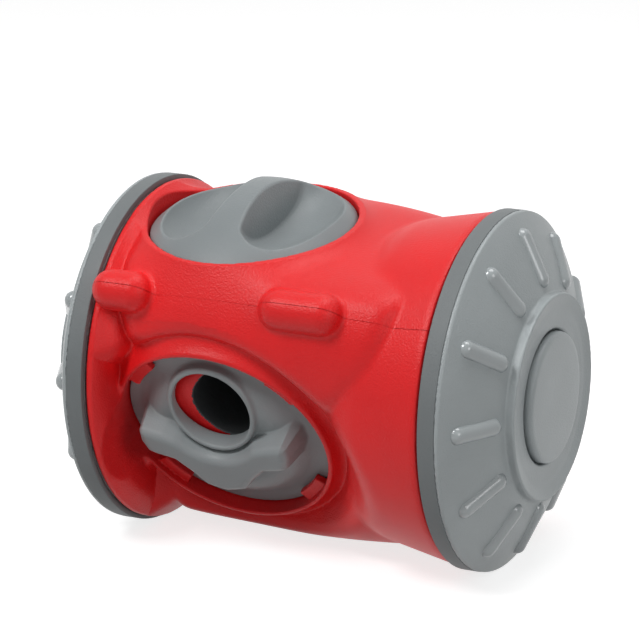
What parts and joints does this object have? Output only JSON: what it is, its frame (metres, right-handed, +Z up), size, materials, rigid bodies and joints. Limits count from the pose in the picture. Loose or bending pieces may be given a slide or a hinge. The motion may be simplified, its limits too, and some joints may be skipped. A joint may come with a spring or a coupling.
{
  "type": "rolling treat dispenser",
  "caption": "Rolling treat dispenser for pets: a red lobed body between ribbed grey wheels, with a twist-off filling cap on top and a turning outlet dial in front.",
  "frame": {"origin": "on the floor, below the axle, midway between the wheels", "axes": "+X along the axle, to the right for someone who looks at the outlet dial; the dial faces -Y; +Z up"},
  "size_m": [0.194, 0.1376, 0.1406],
  "materials": {
    "red_plastic": "satin, fine moulded grain",
    "grey_plastic": "satin",
    "dark_plastic": "matte",
    "tread_rubber": "matte",
    "seal_rubber": "matte",
    "steel": "brushed",
    "iron": "as cast"
  },
  "bodies": {
    "housing": {"upper_shell": "red_plastic", "lower_shell": "red_plastic", "port_plate": "red_plastic", "left_axle": "steel", "right_axle": "steel", "left_washer": "steel", "right_washer": "steel", "left_axle_screw": "steel", "right_axle_screw": "steel", "shell_screws": "steel", "port_screws": "steel", "keel_weight": "iron", "weight_screws": "steel"},
    "left_wheel_body": {"left_wheel": "grey_plastic", "left_tyre": "tread_rubber", "left_wheel_back": "dark_plastic", "left_hub_cap": "grey_plastic", "left_bush": "dark_plastic"},
    "right_wheel_body": {"right_wheel": "grey_plastic", "right_tyre": "tread_rubber", "right_wheel_back": "dark_plastic", "right_hub_cap": "grey_plastic", "right_bush": "dark_plastic"},
    "cap_carrier": {"cap_seal": "seal_rubber"},
    "cap_body": {"fill_cap": "grey_plastic"},
    "dial_body": {"outlet_dial": "grey_plastic"}
  },
  "joints": [
    {"name": "left_spin", "type": "hinge", "parent": "housing", "child": "left_wheel_body", "pos_m": [-0.08, 0, 0.068], "axis": [1, 0, 0], "continuous": true},
    {"name": "right_spin", "type": "hinge", "parent": "housing", "child": "right_wheel_body", "pos_m": [0.08, 0, 0.068], "axis": [1, 0, 0], "continuous": true},
    {"name": "cap_lift", "type": "slide", "parent": "housing", "child": "cap_carrier", "axis": [0, -0.1736, 0.9848], "range_m": [0, 0.03]},
    {"name": "cap_twist", "type": "hinge", "parent": "cap_carrier", "child": "cap_body", "pos_m": [-0.023, -0.00394, 0.06731], "axis": [0, -0.1736, 0.9848], "range_deg": [0, 50]},
    {"name": "dial_turn", "type": "hinge", "parent": "housing", "child": "dial_body", "pos_m": [-0.023, -0.0018, 0.071], "axis": [0, -0.8572, -0.515], "range_deg": [-24, 120]}
  ]
}
